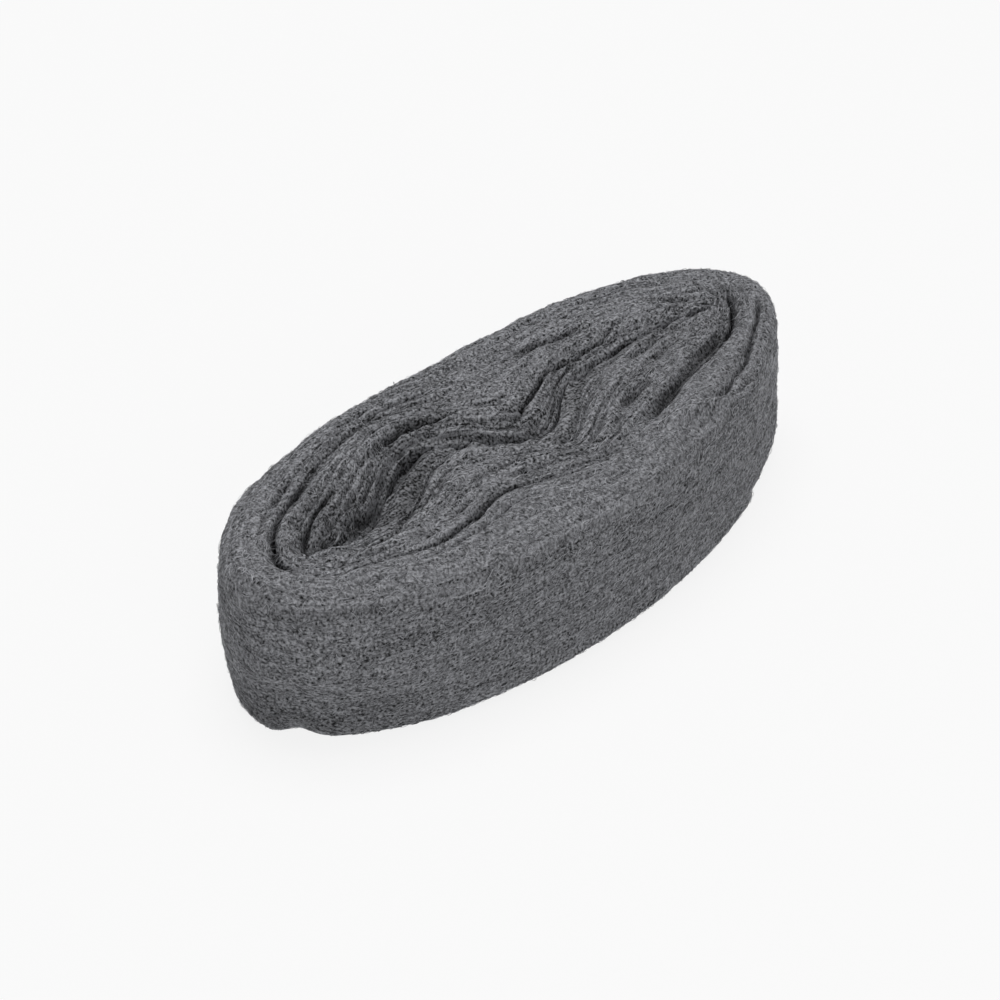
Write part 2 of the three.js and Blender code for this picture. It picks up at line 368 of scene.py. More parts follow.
# The tuft and the notch of the foot: angle, reach in degrees, lift.
FOOT_LIFTS = [(-161, 5, 2.6), (-172, 6, -1.3)]

# Where two turns stand apart: after how many turns, how far along, how wide, and how much deeper.
LOOSE_SPOTS = [
    (4.24, 0.12, 0.75, 1.9), (4.465, 0.045, 1.1, 2.2), (4.71, 0.15, 0.6, 1.6), (5.475, 0.03, 0.3, 1.2),
]
LOOSE_POWER, GAP_UNEVENNESS, GAP_PATCH = 2.0, 0.7, 6.0
# They close up on the way down.
GAP_FOOT, GAP_TOP = 18.0, 36.0


# %% A point of the smooth ribbon
def edge_round(share):
    """How far an edge has dropped, from 0 at the ribbon's middle to 1 at its side."""
    return 1 - clamp(1 - clamp(share) ** EDGE_POWER) ** (1 / EDGE_POWER)


def on_the_outside(turns):
    """1 where the ribbon's outer side is the roll's outside, 0 where the next turn covers it."""
    return clamp((turns - (LAST_TURN - 1)) / COMING_FREE)


def in_the_slit(turns):
    """1 where the ribbon's inner side faces the slit, 0 where the turn before covers it."""
    return clamp((FIRST_TURN + 1 - turns) / COMING_FREE)


def seam_depth(turns):
    """How deep the groove is at the seam after a number of turns."""
    run = length_after(turns)
    patch = clamp(SEAM_MEAN + SEAM_CHANGE * noise(run / SEAM_PATCH, 0 * run, 9))
    return SEAM_MOST * patch * clamp(SEAM_FADE - turns / TURNS)


def loose_drop(turns):
    """How much deeper the seam is where two turns stand apart."""
    return sum(deeper * hump(turns - at, reach) for at, reach, _, deeper in LOOSE_SPOTS)


def half_gap(turns):
    """Half of how far two turns stand apart at the seam after a number of turns."""
    uneven = 1 + GAP_UNEVENNESS * noise(length_after(turns) / GAP_PATCH, 0 * turns, 19)
    return uneven * sum(width * hump(turns - at, reach) for at, reach, width, _ in LOOSE_SPOTS) / 2


def wall_shares(turns, across):
    """Shares of the wall at the ribbon's inner side, at its outer side and at a place across it."""
    deg = angle_after(turns)
    inside, outside = share_after(turns - 1, deg), share_after(turns, deg)
    return inside, outside, inside + (outside - inside) * across


def section_place(around):
    """Which side of the section it is, how far along that side, and how far across the ribbon."""
    side = np.floor(around) % 4
    along = around - np.floor(around)
    eased = (1 - np.cos(np.pi * along)) / 2
    across = np.select([side == 0, side == 1, side == 2], [0 * eased, eased, 0 * eased + 1], 1 - eased)
    return side, along, across


def ribbon_point(turns, around):
    """Millimetres: a point of the smooth ribbon."""
    side, along, across = section_place(around)
    deg = angle_after(turns)
    inside, outside, built = wall_shares(turns, across)

    slit, outer_face = in_the_slit(turns), on_the_outside(turns)
    crest = top_height(deg, built) - groove_depth(plan_point(deg, built, TOP_TUCK))
    crest = crest - crease_depth(deg, built)
    to_inside, to_outside = clamp(1 - 2 * across), clamp(2 * across - 1)
    crest = crest - seam_depth(turns - 1) * (1 - slit) * to_inside**SEAM_POWER
    crest = crest - seam_depth(turns) * (1 - outer_face) * to_outside**SEAM_POWER
    crest = crest - loose_drop(turns - 1) * to_inside**LOOSE_POWER
    crest = crest - loose_drop(turns) * to_outside**LOOSE_POWER
    crest = crest - EDGE_DROP * (slit * edge_round(to_inside) + outer_face * edge_round(to_outside))
    lift = RIM_LIFT + sum_at(deg, FOOT_LIFTS)
    sole = lift * rim_share(built) + FOOT_RISE * edge_round(np.abs(2 * across - 1))
    up = np.where(side == 0, along, 1 - along)
    z = np.select([side == 1, side == 3], [crest, sole], sole + (crest - sole) * up)

    middle = RIBBON_WIDTH / 2
    foot_tuck = FOOT_TUCK + LEFT_FOOT_TUCK * np.clip(-cosine(deg), 0, None) ** 2
    tuck = TOP_TUCK * clamp(z / middle - 1) ** TUCK_POWER
    tuck = tuck + foot_tuck * np.clip(1 - z / middle, 0, None) ** TUCK_POWER
    to_end = length_after(LAST_TURN) - length_after(turns)
    raised = clamp((z - CURL_FROM) / (CURL_TO - CURL_FROM))
    tuck = tuck - CURL * clamp(1 - to_end / CURL_LENGTH) ** 2 * raised**2

    inner, outer = plan_point(deg, inside, tuck), plan_point(deg, outside, tuck)
    thickness = np.maximum(np.linalg.norm(outer - inner, axis=-1), THINNEST)
    open_share = clamp((z - GAP_FOOT) / (GAP_TOP - GAP_FOOT)) / thickness
    first, last = half_gap(turns - 1) * open_share, 1 - half_gap(turns) * open_share
    plan = inner + (outer - inner) * (first + (last - first) * across)[..., None] - PLAN_MIDDLE
    return np.concatenate([plan, z[..., None]], -1)


# %% [markdown]
# ## The relief of the wool
# Fibres gather in soft clumps, and the wall has bulges and creases. A Displace modifier could push the
# surface about, but its textures don't know which way the ribbon runs. So the relief is noise in the
# ribbon's own measure, and the fibres later stand on the same relief.

# %% The relief
SIDE_LENGTH, EDGE_LENGTH = 35.0, 4.5
GIRTHS = np.cumsum([0, SIDE_LENGTH, EDGE_LENGTH, SIDE_LENGTH, EDGE_LENGTH])
SIDE_ENDS = np.arange(5)
# Clumps of the wool: length along the ribbon, length across it, height.
CLUMPS = [(9.0, 1.1, 0.08), (4.0, 2.2, 0.12), (2.2, 1.4, 0.08)]
WAVE_LENGTH, WAVE_PITCH, WAVE_HEIGHT = 30.0, 11.0, 0.4

# Bulges and creases of the outer wall: angle, reach in degrees, height, reach in height, relief.
WALL_LUMPS = [
    (-152, 13, 20, 7, 0.9), (-158, 20, 13, 2, -0.7), (-171, 9, 6, 4, 0.5), (-128, 12, 36, 1.5, -0.5),
    (-103, 8, 35, 1.5, -0.5), (-121, 16, 23.5, 1.6, -0.35), (-100, 20, 27, 1.6, -0.3),
    (-140, 16, 9, 1.8, -0.4), (-85, 16, 12, 1.8, -0.4), (-62, 14, 22, 6, 0.5), (-45, 12, 15, 2, -0.5),
    (10, 30, 17, 2, -0.5), (40, 18, 27, 6, 0.6), (75, 30, 25, 2, -0.5), (110, 24, 14, 6, 0.6),
    (130, 30, 9, 2, -0.5), (160, 18, 24, 2, -0.4), (68, 3, 37, 5, 1.4), (60, 3, 37, 5, 1.3),
    (54, 3, 37, 5, 0.9), (-26, 16, 9, 7, 1.1), (138, 9, 32, 12, 1.6),
]
FLOOR_GAP = 0.05
# How close to a side the relief of an edge fades.
EDGE_FADE = 4


def relief(turns, around, z):
    """Millimetres that the wool stands out from the smooth ribbon."""
    side, _, across = section_place(around)
    run = length_after(turns)
    girth = np.interp(around % 4, SIDE_ENDS, GIRTHS)
    clumps = 0
    for layer, (length, pitch, height) in enumerate(CLUMPS):
        clumps = clumps + height * noise(run / length, girth / pitch, 2 + layer)
    broad = WAVE_HEIGHT * noise(run / WAVE_LENGTH, z / WAVE_PITCH, 6)
    for at, reach, height, up, stand in WALL_LUMPS:
        broad = broad + stand * near_angle(angle_after(turns), at, reach) * hump(z - height, up)
    outside, slit = on_the_outside(turns), in_the_slit(turns)
    edge = 1 - np.abs(2 * across - 1) ** EDGE_FADE
    shown = np.select([side == 0, side == 2], [slit, outside], edge)
    shown = np.maximum(shown, np.where(side == 1, np.where(across > 0.5, outside, slit), 0))
    wall = outside * np.select([side == 2, side == 1], [1 + 0 * z, across**EDGE_FADE], 0)
    return clumps * shown + broad * wall


# %% Painted shade: where the colour is darkened in grooves, in the slit and under the bulge at the left foot
# Painted shade: a groove darkens from the first depth on, and the slit below a height. Grooves are less dark
# at the lips of the slit.
OPEN_DEPTH, SUNKEN_DEPTH = 0.75, 2.8
SLIT_DARK_FROM, SLIT_DARK_DEPTH = 36.5, 10.0
SLIT_EDGE_LIGHT = 0.6
# Painted shade under the bulge at the left foot too: how much, angle and reach, and below which height.
FOOT_DARK, FOOT_DARK_AT, FOOT_DARK_REACH = 0.4, -168, 28
FOOT_DARK_FROM, FOOT_DARK_DEPTH = 15.0, 8.0


def painted_shade(turns, around):
    """How much shade is painted into the colour: 0 on the open wool, 1 deep in a groove or in the slit."""
    side, _, across = section_place(around)
    deg = angle_after(turns)
    _, _, built = wall_shares(turns, across)
    z = ribbon_point(turns, around)[..., 2]
    groove = (top_height(deg, built) - z - OPEN_DEPTH) / SUNKEN_DEPTH
    groove = groove * (1 - on_the_outside(turns) * (across > 0.5))
    groove = groove * (1 - SLIT_EDGE_LIGHT * in_the_slit(turns) * (across < 0.5))
    below = (SLIT_DARK_FROM - z) / SLIT_DARK_DEPTH
    low = below * clamp(1 - built / CORE_END)
    slit = np.where(in_the_slit(turns) > 0, below, groove)
    foot = FOOT_DARK * clamp((FOOT_DARK_FROM - z) / FOOT_DARK_DEPTH)
    foot = foot * near_angle(deg, FOOT_DARK_AT, FOOT_DARK_REACH)
    wall = np.where(on_the_outside(turns) > 0, foot, groove)
    sides = [side == 0, side == 1, side == 2]
    return clamp(np.select(sides, [slit, np.maximum(groove, low), wall], 0))


# %% A point of the wool
# Small steps along the ribbon and round its section, to find the way out.
AHEAD, ROUND_IT = 0.003, 0.02
SHORTEST = 1e-9


def unit(vectors):
    return vectors / np.maximum(np.linalg.norm(vectors, axis=-1, keepdims=True), SHORTEST)


def wool_point(turns, around, lift=0.0):
    """Millimetres: a point of the wool, raised off it by the lift, and the way out."""
    place = ribbon_point(turns, around)
    forward = ribbon_point(turns + AHEAD, around) - ribbon_point(turns - AHEAD, around)
    sideways = ribbon_point(turns, around + ROUND_IT) - ribbon_point(turns, around - ROUND_IT)
    out = unit(np.cross(sideways, forward))
    height = relief(turns, around, place[..., 2]) + lift
    place = place + out * height[..., None]
    place[..., 2] = np.maximum(place[..., 2], FLOOR_GAP)
    return place, out


# %% [markdown]
# ## The ribbon of wool
# A grid is the ribbon's skin laid out flat: its X runs along the ribbon, and its Y once round the
# section. Each corner moves to its place on the winding, the two long edges are merged, and the torn ends
# are closed. The grid's own layout becomes the UV map that the finish follows.

# %% Small helpers for modelling
def deselect_all():
    if bpy.context.object and bpy.context.object.mode != "OBJECT":
        bpy.ops.object.mode_set(mode="OBJECT")
    bpy.ops.object.select_all(action="DESELECT")


def new_grid(name, columns, rows, size):
    deselect_all()
    bpy.ops.mesh.primitive_grid_add(
        x_subdivisions=columns, y_subdivisions=rows, size=size, calc_uvs=False, location=(0, 0, 0)
    )
    bpy.context.object.name = name
    return bpy.context.object


def turn_outward():
    """Turn all faces outward, leave edit mode and shade them smooth."""
    bpy.ops.mesh.select_all(action="SELECT")
    bpy.ops.mesh.normals_make_consistent(inside=False)
    bpy.ops.object.mode_set(mode="OBJECT")
    bpy.ops.object.shade_smooth()


def vertex_places(mesh):
    places = np.empty(len(mesh.vertices) * 3, np.float32)
    mesh.vertices.foreach_get("co", places)
    return places.reshape(-1, 3).astype(float)


def corner_values(mesh, per_vertex):
    """A value for each face corner, from the values of the vertices."""
    vertex = np.empty(len(mesh.loops), np.int32)
    mesh.loops.foreach_get("vertex_index", vertex)
    return per_vertex[vertex]


def add_values(mesh, name, per_vertex):
    values = mesh.attributes.new(name, "FLOAT", "POINT")
    values.data.foreach_set("value", per_vertex.astype(np.float32))


def add_map(mesh, name, places):
    layer = mesh.uv_layers.new(name=name, do_init=False)
    layer.uv.foreach_set("vector", places.astype(np.float32).ravel())


def move_vertices(mesh, places_mm):
    mesh.vertices.foreach_set("co", (places_mm * MM).astype(np.float32).ravel())


def triangle_count(mesh):
    return sum(len(face.vertices) - 2 for face in mesh.polygons)


# %% Wind the ribbon
RIBBON_STEPS = 2000
AROUND_SIDES = (5, 18, 19, 5)
# How streaky the wall and the smooth rim are, and how grainy the top and the smooth rim.
WALL_STREAKS = 0.5
TOP_GRAIN, RIM_GRAIN = 1.15, 0.8
# The torn outer end: depth, how far back it reaches, and cells of noise from foot to top.
TORN_DEPTH, TORN_LENGTH, TORN_CELLS = 3.0, 12.0, 5
section_steps = [side + np.arange(count) / count for side, count in enumerate(AROUND_SIDES)]
section_places = np.append(np.concatenate(section_steps), 4.0)
AROUND_STEPS = len(section_places) - 1

wool = new_grid("wool_ribbon", RIBBON_STEPS, AROUND_STEPS, 1)
flat = vertex_places(wool.data) + 0.5
start, finish = length_after(FIRST_TURN), length_after(LAST_TURN)
run = start + (finish - start) * flat[:, 0]
around = section_places[np.rint(flat[:, 1] * AROUND_STEPS).astype(int)]
torn_place = np.interp(around, SIDE_ENDS, [0, TORN_CELLS, TORN_CELLS, 0, 0])
tear = TORN_DEPTH * np.abs(noise(torn_place, 0 * run, 23))
run = run - tear * clamp((run - finish) / TORN_LENGTH + 1)
turns = turns_after(run)
wound, _ = wool_point(turns, around)
move_vertices(wool.data, wound)
# The 'lost' value is painted shade: it darkens grooves, the slit and the low wall under the bulge at the
# left foot.
add_values(wool.data, "lost", painted_shade(turns, around))
plain = smoothness(angle_after(turns), turns / TURNS)
on_top = (around > 1) & (around < 2)
streaky = np.where(on_top, 1 - (1 - WALL_STREAKS) * plain, WALL_STREAKS)
add_values(wool.data, "streaky", streaky)
grainy = np.where(on_top, TOP_GRAIN - (TOP_GRAIN - RIM_GRAIN) * plain, 1.0)
add_values(wool.data, "grainy", grainy)
girth = np.interp(around, SIDE_ENDS, GIRTHS)
add_map(wool.data, "lay", corner_values(wool.data, np.stack([run, girth], -1) * MM))
print("wound", len(wool.data.polygons), "faces")

# %% Lay out its bake map: the outer wall first, then a row for each turn
WALL_SHARE = 0.4
SIDE_SHARES = np.cumsum([0, 0.1, 0.45, 0.1, 0.35])
# Shares of the map, of a row or of the wall's band that are used, and where they start.
USED_LENGTH, ROW_START, WALL_START = 0.98, 0.005, 0.01
USED_ROW, ROW_FOOT = 0.96, 0.02
USED_WALL, WALL_FOOT = 0.98, 0.002
row_count = TURNS + 1
face_turns = corner_values(wool.data, turns).reshape(-1, 4)
face_around = corner_values(wool.data, around).reshape(-1, 4)
row = np.floor(face_turns.min(1, keepdims=True) - FIRST_TURN)
u = (face_turns - FIRST_TURN - row) * USED_LENGTH + ROW_START
in_row = row + ROW_FOOT + USED_ROW * np.interp(face_around, SIDE_ENDS, SIDE_SHARES)
v = WALL_SHARE + (1 - WALL_SHARE) * in_row / row_count
on_wall = (face_around.min(1) >= 2) & (face_around.max(1) <= 3)
on_wall &= face_turns.min(1) > LAST_TURN - 1
u[on_wall] = (face_turns[on_wall] - (LAST_TURN - 1)) * USED_LENGTH + WALL_START
v[on_wall] = (3 - face_around[on_wall]) * WALL_SHARE * USED_WALL + WALL_FOOT
add_map(wool.data, "OFBake", np.stack([u, v], -1).reshape(-1, 2))
print("laid out", row_count, "rows and the wall's", int(on_wall.sum()), "faces")

# %% Close its seam and its torn ends
SEAM_MERGE = 1e-7
bpy.ops.object.mode_set(mode="EDIT")
bpy.ops.mesh.select_all(action="SELECT")
bpy.ops.mesh.remove_doubles(threshold=SEAM_MERGE)
bpy.ops.mesh.select_all(action="DESELECT")
bpy.ops.mesh.select_mode(type="EDGE")
bpy.ops.mesh.select_non_manifold()
bpy.ops.mesh.fill_holes(sides=0)
turn_outward()
print("the wool ribbon has", triangle_count(wool.data), "triangles")

# %% [markdown]
# ## The crumpled core
# The ribbon's inner end is crumpled into the slit, so one looks down on folded wool there and not through
# to the bench. It is a grid over the slit's plan, lifted into folds and extruded down.

# %% Fill the slit
CORE_STEPS, CORE_ROWS = 300, 24
# How far it reaches past the slit, as a share of its length and in millimetres across it.
CORE_REACH, CORE_OVERLAP = 1.01, 1.0
CORE_TOP, HOLLOW_DEPTH, CORE_SAG = 34.5, 3.8, 0.5
# How high the lower side ends above the bench, and how much it is raised for the folds.
CORE_FOOT, FOLD_ROOM = 3.0, 3.0
# The right part lies higher, and gets more painted shade.
RIGHT_RISE, RIGHT_FROM, RIGHT_REACH, RIGHT_DARK = 1.2, -0.25, 0.25, 0.35
# How the folds slant, and how much more painted shade the near side gets.
CORE_SLANT, CORE_NEAR_DARK = 0.35, 0.3
# Folds of the core: length along the slit, length across it, height.
CORE_FOLDS = [(20.0, 3.0, 1.8), (6.0, 1.4, 0.7)]

core = new_grid("crumpled_core", CORE_STEPS, CORE_ROWS, 2)
flat = vertex_places(core.data)
along, sideways = flat[:, 0] * CORE_REACH, flat[:, 1]
slit, bend = slit_shape(along)
x = (LENGTH / 2 - END_BUILD) * along
y = (slit / 2 * np.sqrt(np.clip(1 - along**2, 0, None)) + CORE_OVERLAP) * sideways + bend
height = CORE_TOP - HOLLOW_DEPTH * hump(along - HOLLOW_AT, HOLLOW_REACH) - CORE_SAG * sideways**2
height = height + RIGHT_RISE * clamp((along - RIGHT_FROM) / RIGHT_REACH)
for layer, (length, pitch, fold) in enumerate(CORE_FOLDS):
    height = height + fold * noise(x / length, (y - CORE_SLANT * x) / pitch, 15 + layer)
places = np.stack([x - PLAN_MIDDLE[0], y - PLAN_MIDDLE[1], height], -1)
move_vertices(core.data, places)
add_map(core.data, "lay", corner_values(core.data, places[:, :2] * MM))
add_values(core.data, "streaky", np.ones(len(places)))
add_values(core.data, "grainy", np.ones(len(places)))
# Painted shade in the slit: darker lower down, on the near side and on the right part.
core_painted_shade = (SLIT_DARK_FROM - height) / SLIT_DARK_DEPTH - CORE_NEAR_DARK * sideways
core_painted_shade = core_painted_shade + RIGHT_DARK * (along > 0)
add_values(core.data, "lost", clamp(core_painted_shade))

bpy.ops.object.mode_set(mode="EDIT")
bpy.ops.mesh.select_all(action="SELECT")
drop = (0, 0, -(CORE_TOP - CORE_FOOT - HOLLOW_DEPTH) * MM + FOLD_ROOM * MM)
bpy.ops.mesh.extrude_region_move(TRANSFORM_OT_translate={"value": drop})
turn_outward()
print("the core has", triangle_count(core.data), "triangles")

# %% [markdown]
# ## The fibres
# From a step away the wool reads as fibres, so the outermost ones are real: short, curling tubes with
# three sides that lie on the relief, mostly along the winding. Blender's hair would draw them too, but it
# isn't a mesh, and thousands of copied objects are slow. So each group is one mesh that is written at
# once, with every fibre on its own cell of a UV map.

# %% One mesh of many fibres
FIBRE_POINTS = 4
FIBRE_SIDES = 3
FIBRE_TAPER = np.array([0.4, 1.0, 1.0, 0.4])
MOST_STRETCH, LONGEST_FIBRE = 1.7, 5.0
# The part of its cell that a fibre takes up on the UV map.
CELL_START, CELL_END, CELL_ROWS = 0.1, 0.9, (0.2, 0.5, 0.8)
rng = np.random.default_rng(21)


def fibre_mesh(name, paths, outs, radii, lost):
    """One object of fibres: paths and the ways out are fibres x points x 3, in millimetres. A fibre that
    the slope of a groove would stretch is left out."""
    steps = np.linalg.norm(np.diff(paths, axis=1), axis=-1)
    kept = steps.max(1) < MOST_STRETCH * np.median(steps, axis=1)
    kept &= steps.sum(1) < LONGEST_FIBRE
    paths, outs, radii, lost = paths[kept], outs[kept], radii[kept], lost[kept]
    count = len(paths)
    along = unit(np.gradient(paths, axis=1))
    beside = unit(np.cross(along, outs))
    upward = np.cross(beside, along)
    angles = np.pi / 2 + 2 * np.pi * np.arange(FIBRE_SIDES) / FIBRE_SIDES
    radius = (radii[:, None] * FIBRE_TAPER)[:, :, None, None]
    cosines, sines = np.cos(angles)[:, None], np.sin(angles)[:, None]
    ring = cosines * beside[:, :, None] + sines * upward[:, :, None]
    corners = paths[:, :, None] + radius * ring

    point = np.arange(FIBRE_POINTS - 1)[:, None] * FIBRE_SIDES
    side = np.arange(FIBRE_SIDES)[None]
    after = (side + 1) % FIBRE_SIDES
    this, other = point + side, point + after
    quad = np.stack([this, this + FIBRE_SIDES, other + FIBRE_SIDES, other], -1)
    fibre_corners = FIBRE_POINTS * FIBRE_SIDES
    quads = quad.reshape(-1, 4)[None] + np.arange(count)[:, None, None] * fibre_corners
    quads = quads.reshape(-1, 4)

    mesh = bpy.data.meshes.new(name)
    mesh.vertices.add(corners.size // 3)
    move_vertices(mesh, corners)
    mesh.loops.add(quads.size)
    mesh.loops.foreach_set("vertex_index", quads.astype(np.int32).ravel())
    mesh.polygons.add(len(quads))
    mesh.polygons.foreach_set("loop_start", np.arange(0, quads.size, 4, dtype=np.int32))
    mesh.update(calc_edges=True)
    mesh.shade_smooth()
    add_values(mesh, "shade", np.repeat(rng.random(count), fibre_corners))
    # Each fibre takes the painted shade of the wool under it.
    add_values(mesh, "lost", np.repeat(lost.mean(1), fibre_corners))

    cells = int(np.ceil(np.sqrt(count)))
    cell = np.stack([np.arange(count) % cells, np.arange(count) // cells], -1)
    columns = np.linspace(CELL_START, CELL_END, FIBRE_POINTS)
    grid = np.stack(np.meshgrid(columns, CELL_ROWS, indexing="ij"), -1)
    places = (cell[:, None, None] + grid[None]) / cells
    add_map(mesh, "OFBake", corner_values(mesh, places.reshape(-1, 2)))
    piece = bpy.data.objects.new(name, mesh)
    bpy.context.scene.collection.objects.link(piece)
    print(name, "has", count, "fibres and", 2 * len(quads), "triangles")
    return piece


# %% How a fibre curls
FIBRE_RADIUS, LOOSE_RADIUS = 0.055, 0.035
THINNER, THICKER = 0.7, 1.3
FIBRE_TUCK = 0.05
# How the height of the fibres is spread.
RISE_SHAPE = 2.0
path_share = np.linspace(-0.5, 0.5, FIBRE_POINTS)

# Kinds of fibre: two lengths, spread of headings in radians, curl as a share of the length, height, radius.
SHORT_CURLS = (1.0, 2.6, 1.2, 0.25, 0.14, FIBRE_RADIUS)
LONG_CURLS = (1.5, 4.0, 0.5, 0.18, 0.12, FIBRE_RADIUS)
FOOT_CURLS = (1.5, 5.0, 0.5, 0.15, 0.12, FIBRE_RADIUS)
SLIT_CURLS = (2.0, 6.0, 0.5, 0.15, 0.2, FIBRE_RADIUS)
LOOSE_CURLS = (1.5, 3.5, 0.9, 0.3, 0.3, LOOSE_RADIUS)


def scattered(count, low, high):
    return rng.uniform(low, high, count)


def curls(count, kind):
    """Paths in a plane: millimetres along the ribbon and across it, fibres x points."""
    shortest, longest, spread, curl, _, _ = kind
    lengths = scattered(count, shortest, longest)[:, None]
    heading = rng.normal(0, spread, count)[:, None]
    bow = rng.normal(0, curl, count)[:, None] * lengths * (0.25 - path_share**2) * 4
    along = lengths * path_share
    ahead = along * np.cos(heading) - bow * np.sin(heading)
    return ahead, along * np.sin(heading) + bow * np.cos(heading)


def rises(count, height):
    """How far each point of a fibre stands off the wool. Its ends are tucked in."""
    to_end = (2 * path_share) ** 2
    return rng.gamma(RISE_SHAPE, height / 2, count)[:, None] * (1 - to_end) - FIBRE_TUCK * to_end


def lay_fibres(name, kind, turns, around):
    """Fibres on the wool, along paths of turns and places around the section."""
    *_, height, radius = kind
    count = len(turns)
    paths, outs = wool_point(turns, around, rises(count, height))
    radii = radius * scattered(count, THINNER, THICKER)
    return fibre_mesh(name, paths, outs, radii, painted_shade(turns, around))


# %% Fibres of the outer wall
# How far the wall's fibres reach over the upper and the lower edge.
WALL_TOP, WALL_BOTTOM = 0.55, 0.4


def wall_fibres(name, count, kind):
    along, across = curls(count, kind)
    start, finish = length_after(LAST_TURN - 1), length_after(LAST_TURN)
    run = np.clip(scattered(count, start, finish)[:, None] + along, start, finish)
    top, bottom = GIRTHS[1] + EDGE_LENGTH * WALL_TOP, GIRTHS[3] + EDGE_LENGTH * WALL_BOTTOM
    girth = scattered(count, top, bottom)[:, None] + across
    return lay_fibres(name, kind, turns_after(run), np.interp(girth, GIRTHS, SIDE_ENDS))


wall_curls_a = wall_fibres("wall_curls_a", 10500, SHORT_CURLS)
wall_curls_b = wall_fibres("wall_curls_b", 7000, LONG_CURLS)


# %% Fibres of the top and of the foot
# Places tried for each fibre, and the percentile of the area at which all are kept.
TRIES, FULL_AREA = 8, 99
# Small steps in degrees and in shares of the wall, to measure the plan.
DEGREE_STEP, SHARE_STEP = 0.5, 0.01
# How many degrees a fibre may reach, and how near it may come to the wall's sides and to the ribbon's.
MOST_DEGREES, WALL_MARGIN, SIDE_MARGIN = 12, 0.002, 0.01


def edge_places(deg, share):
    """The number of turns, and the place across the ribbon, at an angle and a share of the wall."""
    parting = parting_at(deg)
    beyond = 1 - (1 - share) * (1 - PARTING) / (1 - parting)
    built = np.where(share < parting, share * PARTING / parting, beyond)
    phase = ((deg - START_DEG) / 360) % 1
    turns = phase + np.floor(built * TURNS - phase) + 1
    turns = np.where(turns > LAST_TURN, turns - 1, turns)
    turns = np.where(turns < FIRST_TURN, turns + 1, turns)
    inside, outside = share_after(turns - 1, deg), share_after(turns, deg)
    return turns, clamp((share - inside) / (outside - inside))


def plan_steps(deg, built):
    """Millimetres in X and Y for a degree round the oval, and for the whole wall."""
    before, after = (plan_point(deg + step, built, TOP_TUCK) for step in (-DEGREE_STEP, DEGREE_STEP))
    inner, outer = (plan_point(deg, built + step, TOP_TUCK) for step in (-SHARE_STEP, SHARE_STEP))
    return (after - before) / (2 * DEGREE_STEP), (outer - inner) / (2 * SHARE_STEP)


def crossed(first, second):
    return first[..., 0] * second[..., 1] - first[..., 1] * second[..., 0]


def spread_over_plan(count):
    """Angles and shares of the wall, evenly over the plan's area."""
    deg, built = scattered(TRIES * count, -180, 180), scattered(TRIES * count, 0, 1)
    area = np.abs(crossed(*plan_steps(deg, built)))
    kept = np.nonzero(rng.random(TRIES * count) < area / np.percentile(area, FULL_AREA))[0][:count]
    return deg[kept], built[kept]


def edge_fibres(name, count, kind, foot=False):
    deg, built = spread_over_plan(count)
    along, across = curls(len(deg), kind)
    round_it, outward = plan_steps(deg, built)
    ahead = unit(round_it)
    aside = np.stack([-ahead[:, 1], ahead[:, 0]], -1)
    offset = along[..., None] * ahead[:, None] + across[..., None] * aside[:, None]
    whole = crossed(round_it, outward)[:, None]
    reach_deg = crossed(offset, outward[:, None]) / whole
    reach_built = crossed(round_it[:, None], offset) / whole
    path_deg = deg[:, None] + np.clip(reach_deg, -MOST_DEGREES, MOST_DEGREES)
    path_built = np.clip(built[:, None] + reach_built, WALL_MARGIN, 1 - WALL_MARGIN)
    turns, share = edge_places(path_deg, path_built)
    share = np.clip(share, SIDE_MARGIN, 1 - SIDE_MARGIN)
    around = 3 + np.arccos(2 * share - 1) / np.pi if foot else 1 + np.arccos(1 - 2 * share) / np.pi
    return lay_fibres(name, kind, turns, around)


top_curls_a = edge_fibres("top_curls_a", 10500, SHORT_CURLS)
top_curls_b = edge_fibres("top_curls_b", 5500, LONG_CURLS)
foot_curls = edge_fibres("foot_curls", 4500, FOOT_CURLS, foot=True)


# %% Fibres in the slit, and loose fuzz
# Where they are strewn and how far they may reach, as shares of the inner side's height.
SLIT_FROM, SLIT_TO = 0.55, 0.99
SLIT_LOWEST, SLIT_HIGHEST = 0.02, 0.995


def slit_fibres(name, count, kind):
    along, across = curls(count, kind)
    run = scattered(count, length_after(FIRST_TURN), length_after(FIRST_TURN + 1))[:, None] + along
    around = scattered(count, SLIT_FROM, SLIT_TO)[:, None] + across / SIDE_LENGTH
    return lay_fibres(name, kind, turns_after(run), np.clip(around, SLIT_LOWEST, SLIT_HIGHEST))


slit_curls = slit_fibres("slit_curls", 1000, SLIT_CURLS)
loose_top = edge_fibres("loose_top", 500, LOOSE_CURLS)
loose_wall = wall_fibres("loose_wall", 500, LOOSE_CURLS)
fibre_pieces = [wall_curls_a, wall_curls_b, top_curls_a, top_curls_b, foot_curls, slit_curls]
fibre_pieces += [loose_top, loose_wall]
print("laid", len(fibre_pieces), "groups of fibres")
